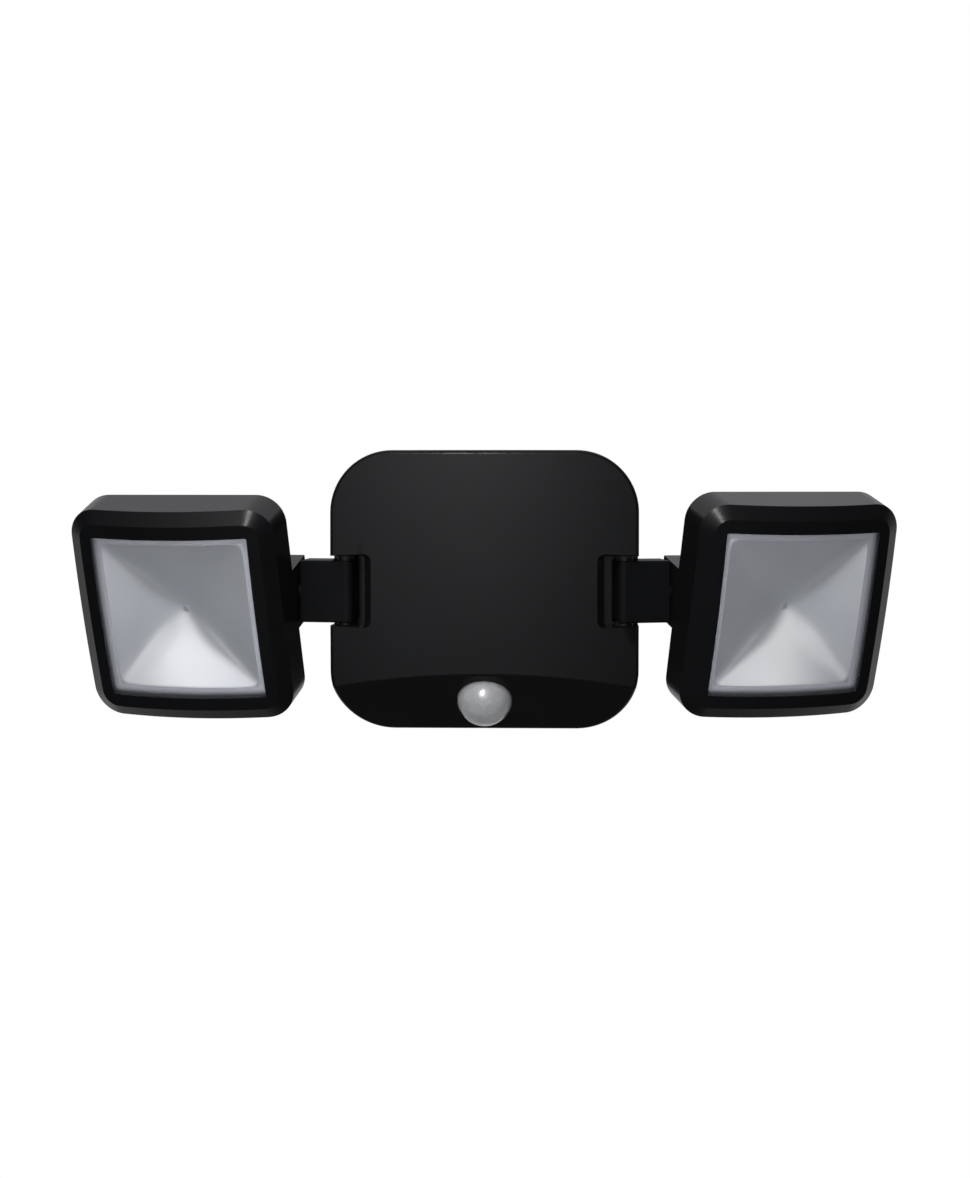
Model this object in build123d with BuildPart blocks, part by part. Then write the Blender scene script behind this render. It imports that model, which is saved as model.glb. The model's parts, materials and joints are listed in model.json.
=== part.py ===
from build123d import *
import os
from math import cos, radians, sin, sqrt, tan

# Motion sensor security light: a battery-powered wall light with a square
# housing, two swinging arms and two tilting lamp heads.
#
# Frame: origin at the centre of the wall screws on the bracket's back face,
# the wall is the plane y = 0, the front of the light looks along -Y, +X is to
# the right seen from the front, +Z is up. Lengths are in millimetres.

os.makedirs("parts", exist_ok=True)

# ---------------------------------------------------------------- dimensions
BODY_W = 140.6          # housing width
BODY_H = 128.6          # housing height
BODY_R = 28.4           # corner radius in front view
BODY_WALL = 2.5         # shell thickness
FRONT_APEX = -78.6      # y of the crowned front at its centre
FRONT_RH = 419.0        # crown radius seen from above
FRONT_RV = 1096.0       # crown radius seen from the side
PARTING = 50.0          # depth from the wall of the front cover's joint
RIM = 1.5               # gap from the wall to the rear housing's rim
BACK_IN = 7.0           # back wall, outer face
BACK_OUT = 9.5          # back wall, inner face
EDGE = 1.8              # edge rounding of the front cover
CHIN_ANGLE = 43.0       # chin's normal below the horizontal
CREASE_Z = -37.6        # height of the crease at the middle
CHIN_RUN = 16.85        # sensor dome's distance down the chin from the crease
DOME_R = 12.75          # sensor dome radius
DOME_SET = 1.05         # depth of the dome's centre under the chin

PAN_X = 63.7            # pan axis from the centre line
PAN_Y = -64.4           # pan axis from the wall
PAN_Z = 0.3             # middle of the arms and heads
PAN_LEFT = 11.5         # arms as they stand, swung back from straight out
PAN_RIGHT = 19.4
TILT_LEFT = 19.9        # heads as they stand, tipped down
TILT_RIGHT = 16.9

ARM_X0, ARM_X1 = -4.3, 20.25
ARM_D = 6.5             # half depth
ARM_H0, ARM_H1 = 13.7, 14.4   # height above the middle at the front and at the back
ARM_LOW = 14.7          # depth of the arm's underside below the middle
SEAT_H = 13.5           # half height over the washer seats
WASHER_R = 4.1
PIN_R = 2.5
POCKET_Z = 15.9         # half height of the pocket
POCKET_WALL = 18.3      # half height over the pocket's walls
POCKET_X = 54.5         # pocket's inboard wall
POCKET_FLOOR = 53.0     # pocket floor, depth from the wall
LIFT = 12.0             # travel of the housing on its bracket

HEAD_X = 69.05          # head's centre from the pan axis, along the arm
HEAD_W = 96.8
HEAD_H = 101.4
HEAD_R = 13.0
HEAD_APEX = -39.7       # crowned front, from the tilt axis
HEAD_RH = 220.0
HEAD_RV = 600.0
HEAD_SPLIT = -13.8      # joint of front shell and rear cover
HEAD_BACK = -10.9
CHAMFER_IN, CHAMFER_DEEP = 5.9, 3.6
WINDOW_W, WINDOW_H = 74.3, 77.3
LUG_BACK = 8.0
LUG_H = 14.3
TILT_R = 3.4            # tilt bolt radius
FLOOR = -BODY_H / 2     # underside of the housing

n_chin = (0, -cos(radians(CHIN_ANGLE)), -sin(radians(CHIN_ANGLE)))
crease_y = FRONT_APEX + FRONT_RV - sqrt(FRONT_RV**2 - CREASE_Z**2)
chin_plane = Plane(origin=(0, crease_y, CREASE_Z), x_dir=(1, 0, 0), z_dir=n_chin)
dome_origin = (
    0,
    crease_y + CHIN_RUN * sin(radians(CHIN_ANGLE)),
    CREASE_Z - CHIN_RUN * cos(radians(CHIN_ANGLE)),
)
dome_plane = Plane(origin=dome_origin, x_dir=(1, 0, 0), z_dir=n_chin)


def depth(d):
    """Sketch plane at a depth d in front of the wall: x is X, y is Z."""
    return Plane.XZ.offset(d)


def barrel(apex, r_h, r_v, half):
    """A solid bounded by a crowned front, whose apex is at y = apex."""
    sag = r_v - sqrt(r_v**2 - half**2)
    axis_y = apex + r_h
    with BuildPart() as crowned:
        with BuildSketch(Plane.YZ):
            with BuildLine():
                ThreePointArc((apex + sag, -half), (apex, 0), (apex + sag, half))
                Polyline(
                    (apex + sag, half), (axis_y, half), (axis_y, -half), (apex + sag, -half)
                )
            make_face()
        revolve(axis=Axis((0, axis_y, 0), (0, 0, 1)))
    return crowned.part


def pieces(part, node):
    """Label a finished piece and write it."""
    part.label = node
    export_step(part, f"parts/{node}.step")


# ================================================================ wall bracket
hooks = [(-38, 48), (38, 48), (-38, -37), (38, -37)]

with BuildPart() as wall_bracket:
    with BuildSketch(depth(0)):
        with Locations((0, 5.5)):
            RectangleRounded(96, 101, 9)
    extrude(amount=2.0)
    with BuildSketch(depth(2.0)):
        with Locations((0, 5.5)):
            RectangleRounded(96, 101, 9)
            RectangleRounded(92.4, 97.4, 7.2, mode=Mode.SUBTRACT)
    extrude(amount=0.5)
    with BuildSketch(depth(2.0)):
        with Locations(*hooks):
            RectangleRounded(15, 12, 2)
    extrude(amount=0.5)
    with BuildSketch(depth(2.5)):
        with Locations(*hooks):
            Rectangle(4.6, 5.0)
    extrude(amount=7.4)
    with BuildSketch(depth(9.8)):
        with Locations(*hooks):
            RectangleRounded(10.0, 5.0, 1.0)
    extrude(amount=2.0)
    with BuildSketch(depth(0)):
        with GridLocations(60, 60, 2, 2):
            Circle(2.4)
        with Locations((0, 24), (0, -12)):
            SlotOverall(30, 12)
    extrude(amount=4, mode=Mode.SUBTRACT)
pieces(wall_bracket.part, "wall_bracket")

# ================================================================ rear housing
key_z = [(48, 1), (-37, 1)]
with BuildPart() as rear_housing:
    with BuildSketch(depth(RIM)):
        RectangleRounded(BODY_W, BODY_H, BODY_R)
    extrude(amount=PARTING - RIM)
    rim_edges = edges().group_by(Axis.Y)[-1]
    fillet(rim_edges, 1.2)
    with BuildSketch(depth(RIM)):
        RectangleRounded(BODY_W - 6, BODY_H - 6, BODY_R - 3)
    extrude(amount=BACK_IN - RIM, mode=Mode.SUBTRACT)
    with BuildSketch(depth(BACK_OUT)):
        RectangleRounded(BODY_W - 5, BODY_H - 5, BODY_R - 2.5)
    extrude(amount=46 - BACK_OUT, mode=Mode.SUBTRACT)
    with BuildSketch(depth(46)):
        RectangleRounded(BODY_W - 11.2, BODY_H - 11.2, BODY_R - 5.6)
    extrude(amount=4, mode=Mode.SUBTRACT)
    # lip inside the front cover, interrupted behind the arm pockets
    with BuildSketch(depth(PARTING)):
        RectangleRounded(BODY_W - 8.2, BODY_H - 8.2, BODY_R - 4.1)
        RectangleRounded(BODY_W - 11.2, BODY_H - 11.2, BODY_R - 5.6, mode=Mode.SUBTRACT)
        Rectangle(BODY_W, 40, mode=Mode.SUBTRACT)
        with Locations((0, -60)):
            Rectangle(46, 12, mode=Mode.SUBTRACT)
    extrude(amount=3)
    # screw bosses in the corners
    with BuildSketch(depth(BACK_OUT)):
        with GridLocations(104, 92, 2, 2):
            Circle(4.5)
    extrude(amount=PARTING - BACK_OUT)
    # closed chambers behind the four keyholes
    with BuildSketch(depth(BACK_OUT)):
        with Locations((-38, 42.5), (38, 42.5), (-38, -42.5), (38, -42.5)):
            Rectangle(15.0, 23.0)
    extrude(amount=4.2)
    with BuildSketch(depth(BACK_OUT)):
        with Locations((-38, 42.5), (38, 42.5), (-38, -42.5), (38, -42.5)):
            Rectangle(12.6, 20.6)
    extrude(amount=3.0, mode=Mode.SUBTRACT)
    with BuildSketch(depth(BACK_IN)):
        with Locations((-38, 43.4), (38, 43.4), (-38, -41.6), (38, -41.6)):
            Rectangle(5.4, 15.0)
        with Locations((-38, 36), (38, 36), (-38, -49), (38, -49)):
            RectangleRounded(11.4, 6.6, 1.2)
    extrude(amount=BACK_OUT - BACK_IN, mode=Mode.SUBTRACT)
    # opening that the battery tray fills
    with BuildSketch(depth(BACK_IN)):
        Rectangle(114, 57)
    extrude(amount=BACK_OUT - BACK_IN, mode=Mode.SUBTRACT)
    # clearance holes for the housing screws
    with BuildSketch(depth(BACK_IN)):
        with GridLocations(104, 92, 2, 2):
            Circle(1.7)
    extrude(amount=PARTING, mode=Mode.SUBTRACT)
    # holes for the battery cover screws
    with BuildSketch(depth(BACK_IN)):
        with Locations((0, 35.0), (0, -35.0)):
            Circle(3.2)
    extrude(amount=9.0)
    with BuildSketch(depth(BACK_IN)):
        with Locations((0, 35.0), (0, -35.0)):
            Circle(1.3)
    extrude(amount=8.0, mode=Mode.SUBTRACT)
    # thickened floor, recess and slot of the mode switch
    with Locations((0, -28.0, FLOOR + 3.6)):
        Box(30, 16, 2.8)
    with Locations((0, -28.0, FLOOR + 0.8)):
        Box(24, 10, 2.0, mode=Mode.SUBTRACT)
    with Locations((0, -28.0, FLOOR + 2.8)):
        Box(12.6, 5.4, 5.0, mode=Mode.SUBTRACT)
pieces(rear_housing.part, "rear_housing")

# ================================================================= front cover
body_crown = barrel(FRONT_APEX, FRONT_RH, FRONT_RV, 80)
inner_crown = barrel(
    FRONT_APEX + BODY_WALL, FRONT_RH - BODY_WALL, FRONT_RV - BODY_WALL, 80
)

# Hollow of the cover, less the walls of the two arm pockets.
with BuildPart() as cover_core:
    with BuildSketch(depth(PARTING - 1)):
        RectangleRounded(BODY_W - 5, BODY_H - 5, BODY_R - 2.5)
    extrude(amount=45)
    add(inner_crown, mode=Mode.INTERSECT)
    split(bisect_by=chin_plane.offset(-BODY_WALL), keep=Keep.BOTTOM)
    with Locations((60.85, -71.0, PAN_Z), (-60.85, -71.0, PAN_Z)):
        Box(17.3, 40.0, 2 * POCKET_WALL, mode=Mode.SUBTRACT)

# Screw posts in the corners of the cover, cut to meet its inner faces.
with BuildPart() as cover_posts:
    with BuildSketch(depth(PARTING + 0.2)):
        with GridLocations(104, 92, 2, 2):
            Circle(3.6)
    extrude(amount=40)
    add(
        barrel(FRONT_APEX + 2.0, FRONT_RH - 2.0, FRONT_RV - 2.0, 80),
        mode=Mode.INTERSECT,
    )
    split(bisect_by=chin_plane.offset(-2.0), keep=Keep.BOTTOM)

with BuildPart() as front_cover:
    with BuildSketch(depth(PARTING)):
        RectangleRounded(BODY_W, BODY_H, BODY_R)
    extrude(amount=45)
    add(body_crown, mode=Mode.INTERSECT)
    split(bisect_by=chin_plane, keep=Keep.BOTTOM)
    crowned = faces().sort_by(Axis.Y)[0]
    chin = faces().filter_by(GeomType.PLANE).filter_by(
        lambda f: f.normal_at().dot(Vector(*n_chin)) > 0.99
    )[0]
    rim = {}
    for e in crowned.edges() + chin.edges():
        rim[tuple(round(v, 2) for v in tuple(e.center()))] = e
    fillet(list(rim.values()), EDGE)
    add(cover_core.part, mode=Mode.SUBTRACT)
    # arm pockets, with a wide lead-in at the front
    for s in (-1, 1):
        with BuildSketch(depth(POCKET_FLOOR)) as pocket:
            with Locations((s * (POCKET_X + 15), PAN_Z)):
                Rectangle(30, 2 * POCKET_Z)
            fillet(pocket.vertices().sort_by(lambda v: abs(v.X))[:2], 1.0)
        extrude(amount=40, mode=Mode.SUBTRACT)
        with BuildSketch(depth(71.2)) as throat:
            with Locations((s * (POCKET_X + 15), PAN_Z)):
                Rectangle(30, 2 * POCKET_Z)
            fillet(throat.vertices().sort_by(lambda v: abs(v.X))[:2], 1.0)
        with BuildSketch(depth(75.6)) as mouth:
            with Locations((s * (51.2 + 16.8), PAN_Z)):
                Rectangle(33.6, 2 * (POCKET_Z + 1.0))
            fillet(mouth.vertices().sort_by(lambda v: abs(v.X))[:2], 3.4)
        loft(mode=Mode.SUBTRACT)
        with BuildSketch(depth(75.6)) as clear:
            with Locations((s * (51.2 + 16.8), PAN_Z)):
                Rectangle(33.6, 2 * (POCKET_Z + 1.0))
            fillet(clear.vertices().sort_by(lambda v: abs(v.X))[:2], 3.4)
        extrude(amount=12, mode=Mode.SUBTRACT)
    # round the front outline of each pocket
    for s in (-1, 1):
        outline = [
            e
            for e in edges()
            if s * e.center().X > 50.5
            and e.center().Y < -72.0
            and abs(e.center().Z - PAN_Z) < POCKET_Z + 1.4
            and e.length > 1.5
        ]
        for r in (1.6, 1.1, 0.7, 0.4):
            try:
                fillet(outline, r)
                print("pocket outline", s, len(outline), "rounded", r)
                break
            except Exception:
                continue
    # pan pin holes through the pocket's upper and lower walls
    with Locations((-PAN_X, PAN_Y, 0), (PAN_X, PAN_Y, 0)):
        Cylinder(PIN_R, 44, mode=Mode.SUBTRACT)
    add(cover_posts.part)
    with BuildSketch(depth(PARTING + 0.2)):
        with GridLocations(104, 92, 2, 2):
            Circle(1.25)
    extrude(amount=14, mode=Mode.SUBTRACT)
    # sensor window and the posts of the sensor board
    with BuildSketch(dome_plane.offset(2)):
        Circle(DOME_R + 0.1)
    extrude(amount=-8, mode=Mode.SUBTRACT)
    with BuildSketch(dome_plane.offset(-BODY_WALL)):
        with Locations((-18.0, 0), (18.0, 0)):
            Circle(2.2)
    extrude(amount=-6.5)
    with BuildSketch(dome_plane.offset(-BODY_WALL)):
        with Locations((-18.0, 0), (18.0, 0)):
            Circle(2.2)
    extrude(amount=0.4)
pieces(front_cover.part, "front_cover")

with BuildPart() as housing_seal:
    with BuildSketch(depth(PARTING)):
        RectangleRounded(BODY_W - 5.1, BODY_H - 5.1, BODY_R - 2.55)
        RectangleRounded(BODY_W - 8.0, BODY_H - 8.0, BODY_R - 4.0, mode=Mode.SUBTRACT)
    extrude(amount=0.95)
pieces(housing_seal.part, "housing_seal")


def screw_group(points, plane_of, head_r, head_h, shank_r, length, recess):
    """Pan-head screws: head behind the plane, shank along its normal."""
    with BuildPart() as group:
        with BuildSketch(plane_of(-head_h)):
            with Locations(*points):
                Circle(head_r)
        extrude(amount=head_h)
        outer = [
            e for e in edges().filter_by(GeomType.CIRCLE)
            if abs(e.radius - head_r) < 1e-6
        ]
        far = plane_of(-head_h).origin
        fillet([e for e in outer if (e.center() - far).dot(plane_of(0).z_dir) < 0.01], 0.4)
        with BuildSketch(plane_of(0)):
            with Locations(*points):
                Circle(shank_r)
        extrude(amount=length)
        with BuildSketch(plane_of(-head_h)):
            with Locations(*points):
                Rectangle(2 * recess, 0.5 * recess)
                Rectangle(0.5 * recess, 2 * recess)
        extrude(amount=0.55 * head_h, mode=Mode.SUBTRACT)
    return group


housing_screws = screw_group(
    [(-52, -46), (-52, 46), (52, -46), (52, 46)],
    lambda h: depth(BACK_IN + h), 3.1, 2.0, 1.25, 54.0, 1.6,
)
pieces(housing_screws.part, "housing_screws")

# ======================================================== battery compartment
with BuildPart() as battery_tray:
    with BuildSketch(depth(BACK_IN)):
        Rectangle(114, 57)
    extrude(amount=33)
    with BuildSketch(depth(BACK_IN)):
        Rectangle(110.8, 53.8)
    extrude(amount=31.4, mode=Mode.SUBTRACT)
    # ribs between the cells
    with BuildSketch(depth(33.0)):
        with Locations((-26.8, 0), (0, 0), (26.8, 0)):
            Rectangle(1.2, 53.8)
    extrude(amount=6.0)
    # standoffs of the control board
    with BuildSketch(depth(40)):
        with GridLocations(84, 46, 2, 2):
            Circle(2.6)
    extrude(amount=3.0)
pieces(battery_tray.part, "battery_tray")

cell_x = (-40.2, -13.4, 13.4, 40.2)
with BuildPart() as battery_cells:
    for i, x in enumerate(cell_x):
        up = 1 if i % 2 == 0 else -1
        with Locations((x, -24.4, -up * 0.9)):
            Cylinder(13.05, 46.4)
        with Locations((x, -24.4, up * 23.2)):
            Cylinder(3.3, 1.8)
    ends = [
        e for e in edges().filter_by(GeomType.CIRCLE) if abs(e.radius - 13.05) < 1e-6
    ]
    fillet(ends, 0.8)
pieces(battery_cells.part, "battery_cells")

# Leaf contacts: folded strips between the cells' ends and the tray.
with BuildPart() as battery_contacts:
    for i, x in enumerate(cell_x):
        up = 1 if i % 2 == 0 else -1
        with BuildSketch(Plane.YZ.offset(x - 4.5)):
            with Locations((-24.4, up * 26.65)):
                Rectangle(20, 0.4)
            Polygon(
                (-31.0, up * 26.5), (-24.9, up * 24.15), (-23.9, up * 24.15),
                (-23.9, up * 24.5), (-24.8, up * 24.5), (-30.2, up * 26.6),
                align=None,
            )
        extrude(amount=9)
        with BuildSketch(Plane.YZ.offset(x - 4.5)):
            with Locations((-24.4, -up * 26.65)):
                Rectangle(20, 0.4)
            Polygon(
                (-32.0, -up * 26.5), (-25.4, -up * 24.15), (-21.9, -up * 24.15),
                (-21.9, -up * 24.5), (-25.2, -up * 24.5), (-31.0, -up * 26.6),
                align=None,
            )
        extrude(amount=9)
pieces(battery_contacts.part, "battery_contacts")

with BuildPart() as battery_cover:
    with BuildSketch(depth(4.2)):
        RectangleRounded(124, 61.6, 4)
        with Locations((0, 33.5), (0, -33.5)):
            RectangleRounded(16, 12, 4)
    extrude(amount=2.0)
    fillet(edges().group_by(Axis.Y)[-1], 0.6)
    with BuildSketch(depth(6.2)):
        RectangleRounded(110.4, 53.4, 1.5)
        RectangleRounded(106.4, 49.4, 1.0, mode=Mode.SUBTRACT)
    extrude(amount=3.0)
    # finger grip ridges on the outside
    with BuildSketch(depth(4.2)):
        with Locations(*[(x, -22) for x in range(-12, 13, 4)]):
            SlotOverall(8, 1.4, rotation=90)
    extrude(amount=-0.5)
    with BuildSketch(depth(4.2)):
        with Locations((0, 35.0), (0, -35.0)):
            Circle(1.5)
    extrude(amount=2.0, mode=Mode.SUBTRACT)
pieces(battery_cover.part, "battery_cover")

with BuildPart() as battery_cover_seal:
    with BuildSketch(depth(6.2)):
        RectangleRounded(121.6, 60.6, 3.4)
        RectangleRounded(115.6, 57.6, 2.0, mode=Mode.SUBTRACT)
    extrude(amount=0.8)
pieces(battery_cover_seal.part, "battery_cover_seal")

battery_cover_screws = screw_group(
    [(0, 35.0), (0, -35.0)], lambda h: depth(4.2 + h), 2.7, 1.3, 1.3, 9.5, 1.4
)
pieces(battery_cover_screws.part, "battery_cover_screws")

# ================================================================ electronics
with BuildPart() as control_board:
    with BuildSketch(depth(43.0)):
        RectangleRounded(94, 80, 3)
        with GridLocations(84, 46, 2, 2):
            Circle(1.2, mode=Mode.SUBTRACT)
    extrude(amount=1.6)
pieces(control_board.part, "control_board")

with BuildPart() as board_components:
    with BuildSketch(depth(44.6)):
        with Locations((-22, -18), (-10, -18)):
            Circle(4.0)
    extrude(amount=11)
    with BuildSketch(depth(44.6)):
        with Locations((12, -16)):
            RectangleRounded(12, 12, 2)
    extrude(amount=6)
    with BuildSketch(depth(44.6)):
        with Locations((-6, 12)):
            Rectangle(10, 7)
        with Locations((16, 10)):
            Rectangle(6, 5)
        with Locations((-24, 8)):
            Rectangle(5, 4)
        with Locations((30, -2), (30, -10), (-34, -4)):
            Rectangle(6.5, 3.5)
    extrude(amount=1.6)
    with BuildSketch(depth(44.6)):
        with Locations((-40, 26), (40, 26)):
            Rectangle(7.6, 6.0)
        with Locations((0, -34)):
            Rectangle(12.0, 5.0)
    extrude(amount=5.4)
pieces(board_components.part, "board_components")

# sensor dome, its flange, retaining ring, board and element
with BuildPart() as dome_upright:
    with BuildSketch(Plane.XZ):
        with BuildLine():
            Line((0, DOME_R - DOME_SET - 1.1), (0, DOME_R - DOME_SET))
            CenterArc((0, -DOME_SET), DOME_R, 0, 90)
            Polyline(
                (DOME_R, -DOME_SET), (DOME_R, -2.6), (14.6, -2.6), (14.6, -3.8),
                (DOME_R - 1.1, -3.8), (DOME_R - 1.1, -DOME_SET),
            )
            CenterArc((0, -DOME_SET), DOME_R - 1.1, 0, 90)
        make_face()
    revolve(axis=Axis.Z)
with BuildPart() as pir_lens:
    add(dome_upright.part.moved(dome_plane.location))
pieces(pir_lens.part, "pir_lens")

with BuildPart() as pir_lens_ring:
    with BuildSketch(dome_plane.offset(-3.85)):
        Circle(15.0)
        Circle(10.8, mode=Mode.SUBTRACT)
        with Locations((-18.0, 0), (18.0, 0)):
            Circle(2.5, mode=Mode.SUBTRACT)
    extrude(amount=-1.6)
pieces(pir_lens_ring.part, "pir_lens_ring")

with BuildPart() as pir_board:
    with BuildSketch(dome_plane.offset(-9.0)):
        RectangleRounded(42, 15, 2)
    extrude(amount=-1.2)
pieces(pir_board.part, "pir_board")

with BuildPart() as pir_sensor:
    with BuildSketch(dome_plane.offset(-9.0)):
        Circle(4.7)
    extrude(amount=0.5)
    with BuildSketch(dome_plane.offset(-8.5)):
        Circle(4.1)
    extrude(amount=3.6)
    with BuildSketch(dome_plane.offset(-4.9)):
        Rectangle(4.0, 3.0)
    extrude(amount=-0.4, mode=Mode.SUBTRACT)
pieces(pir_sensor.part, "pir_sensor")

with BuildPart() as light_sensor:
    with BuildSketch(dome_plane.offset(-9.0)):
        with Locations((8.3, 0)):
            Circle(2.2)
    extrude(amount=1.9)
pieces(light_sensor.part, "light_sensor")

# mode switch under the housing
with BuildPart() as mode_switch_body:
    with Locations((0, -28.0, FLOOR + 8.1)):
        Box(19, 8.4, 6.0)
    with Locations((0, -28.0, FLOOR + 6.6)):
        Box(9.6, 2.6, 3.2, mode=Mode.SUBTRACT)
pieces(mode_switch_body.part, "mode_switch_body")

with BuildPart() as mode_switch_knob:
    with Locations((0, -28.0, FLOOR + 2.65)):
        Box(6.2, 5.0, 4.7)
    fillet(edges().group_by(Axis.Z)[0], 0.5)
    with Locations((0, -28.0, FLOOR + 6.3)):
        Box(3.0, 2.2, 2.6)
    for x in (-1.6, 0, 1.6):
        with Locations((x, -28.0, FLOOR + 0.3)):
            Box(0.6, 5.0, 0.5, mode=Mode.SUBTRACT)
pieces(mode_switch_knob.part, "mode_switch_knob")

# leads from the board to the hollow pan pins
with BuildPart() as body_leads:
    for s in (-1, 1):
        with BuildLine() as route:
            FilletPolyline(
                (s * 40, -50.1, 26), (s * 40, PAN_Y, 26), (s * PAN_X, PAN_Y, 26),
                (s * PAN_X, PAN_Y, 1.5), radius=5.0,
            )
        with BuildSketch(Plane(origin=route.line @ 0, z_dir=route.line % 0)):
            Circle(1.2)
        sweep(path=route.line)
pieces(body_leads.part, "body_leads")

# ================================================= pan pins, held by the cover
with BuildPart() as pan_pins:
    for s in (-1, 1):
        with Locations((s * PAN_X, PAN_Y, PAN_Z + 0.3)):
            Cylinder(PIN_R, 2 * POCKET_WALL + 3.4)
        with Locations((s * PAN_X, PAN_Y, PAN_Z + POCKET_WALL + 0.6)):
            Cylinder(3.9, 1.2)
        with Locations((s * PAN_X, PAN_Y, 0)):
            Cylinder(1.5, 60, mode=Mode.SUBTRACT)
        # window that lets the lead turn with the arm
        with Locations((s * (PAN_X + 2.1), PAN_Y, PAN_Z)):
            Box(5.4, 7.0, 7.0, mode=Mode.SUBTRACT)
pieces(pan_pins.part, "pan_pins")

with BuildPart() as pan_clips:
    for s in (-1, 1):
        with Locations((s * PAN_X, PAN_Y, PAN_Z - POCKET_WALL - 0.45)):
            Cylinder(3.9, 0.8)
            Cylinder(PIN_R, 0.8, mode=Mode.SUBTRACT)
        with Locations((s * PAN_X, PAN_Y - 3.5, PAN_Z - POCKET_WALL - 0.45)):
            Box(2.6, 3.0, 1.0, mode=Mode.SUBTRACT)
pieces(pan_clips.part, "pan_clips")

# ================================================== arm, in its own right-hand
# frame: origin on the pan axis, x outward along the arm, y back, z up.
with BuildPart() as arm_blank:
    with BuildSketch(Plane.YZ.offset(ARM_X0)):
        Polygon(
            (-ARM_D, -ARM_LOW), (ARM_D, -ARM_LOW), (ARM_D, ARM_H1), (-ARM_D, ARM_H0),
            align=None,
        )
    extrude(amount=ARM_X1 - ARM_X0)
    fillet(
        [e for e in edges() if abs(e.center().X - ARM_X0) < 0.01 and abs(e.center().Z) < 1],
        3.0,
    )
    fillet(
        [
            e for e in edges()
            if e.center().X > ARM_X1 - 0.01
            or (e.center().X > 5 and abs(e.center().Y) > ARM_D - 0.01)
        ],
        0.9,
    )
    # washer seats
    with Locations((0, 0, SEAT_H + 1.5), (0, 0, -SEAT_H - 1.5)):
        Cylinder(6.0, 3.0, mode=Mode.SUBTRACT)
    # hollow for the lead and the tilt bolt's head
    with Locations((11.35, 0, 0)):
        Box(12.8, 9.0, 22.0, mode=Mode.SUBTRACT)
    with Locations((2.7, 0, 0)):
        Box(5.4, 3.6, 7.0, mode=Mode.SUBTRACT)
    Cylinder(PIN_R + 0.05, 40, mode=Mode.SUBTRACT)
    with Locations((17.75, 0, 0)):
        Cylinder(TILT_R, 12, rotation=(0, 90, 0), mode=Mode.SUBTRACT)
    # screw posts
    with Locations((8.75, 0, 8.2), (8.75, 0, -8.2)):
        Cylinder(3.2, 9.4, rotation=(90, 0, 0))

with BuildPart() as arm_front_shell:
    add(arm_blank.part)
    split(bisect_by=Plane.XZ, keep=Keep.TOP)
    with Locations((8.75, -1.5, 8.2), (8.75, -1.5, -8.2)):
        Cylinder(1.0, 5.0, rotation=(90, 0, 0), mode=Mode.SUBTRACT)

with BuildPart() as arm_rear_shell:
    add(arm_blank.part)
    split(bisect_by=Plane.XZ, keep=Keep.BOTTOM)
    with Locations((8.75, 3.0, 8.2), (8.75, 3.0, -8.2)):
        Cylinder(1.3, 10.0, rotation=(90, 0, 0), mode=Mode.SUBTRACT)
    with Locations((8.75, 6.0, 8.2), (8.75, 6.0, -8.2)):
        Cylinder(2.3, 3.0, rotation=(90, 0, 0), mode=Mode.SUBTRACT)

arm_screws = screw_group(
    [(8.75, 8.2), (8.75, -8.2)],
    lambda h: Plane.XZ.offset(-4.5 + h), 2.1, 1.5, 1.0, 8.4, 1.1,
)

with BuildPart() as pan_washers:
    mid, thick = (SEAT_H + POCKET_Z) / 2, POCKET_Z - SEAT_H
    with Locations((0, 0, mid), (0, 0, -mid)):
        Cylinder(WASHER_R, thick - 0.1)
        Cylinder(PIN_R + 0.1, thick, mode=Mode.SUBTRACT)

# hollow tilt bolt along the arm, its flange inside the arm
with BuildPart() as tilt_bolt:
    with BuildSketch(Plane.YZ.offset(16.15)):
        Circle(6.4)
        with Locations((5.4, 0), (-5.4, 0)):
            Rectangle(3.0, 14, mode=Mode.SUBTRACT)
    extrude(amount=1.55)
    with BuildSketch(Plane.YZ.offset(17.7)):
        Circle(TILT_R)
    extrude(amount=12.0)
    with BuildSketch(Plane.YZ.offset(15.75)):
        Circle(1.7)
    extrude(amount=16.0, mode=Mode.SUBTRACT)

LUG_IN = HEAD_X - HEAD_W / 2      # lug's face, from the pan axis
with BuildPart() as tilt_washers:
    with BuildSketch(Plane.YZ.offset(ARM_X1)):
        Circle(5.4)
        Circle(TILT_R, mode=Mode.SUBTRACT)
    extrude(amount=LUG_IN - ARM_X1 - 0.03)
    with BuildSketch(Plane.YZ.offset(LUG_IN + 2.85)):
        Circle(5.4)
        Circle(TILT_R, mode=Mode.SUBTRACT)
    extrude(amount=0.8)

with BuildPart() as tilt_nut:
    with BuildSketch(Plane.YZ.offset(LUG_IN + 3.65)):
        RegularPolygon(5.4, 6)
        Circle(TILT_R, mode=Mode.SUBTRACT)
    extrude(amount=4.0)

with BuildPart() as arm_lead:
    with BuildSketch(Plane.YZ):
        Circle(1.15)
    extrude(amount=LUG_IN - 0.1)

# ================================================= head, in its own right-hand
# frame: origin on the tilt axis under the head's centre, x outward, y back.
def head_crown(d):
    """Solid behind the head's crowned front, set back by d."""
    return barrel(HEAD_APEX + d, HEAD_RH - d, HEAD_RV - d, 62)


head_front = head_crown(0)
crown_18 = head_crown(1.8)
crown_50 = head_crown(5.0)

with BuildPart() as head_cavity:
    with BuildSketch(Plane.XZ.offset(-HEAD_SPLIT)):
        RectangleRounded(HEAD_W - 4.6, HEAD_H - 4.6, HEAD_R - 2.3)
    extrude(amount=13.0)
    with BuildSketch(Plane.XZ.offset(-HEAD_SPLIT)):
        RectangleRounded(HEAD_W - 12.0, HEAD_H - 12.0, HEAD_R - 6.0)
    extrude(amount=30.0)
    add(crown_50, mode=Mode.INTERSECT)

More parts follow.
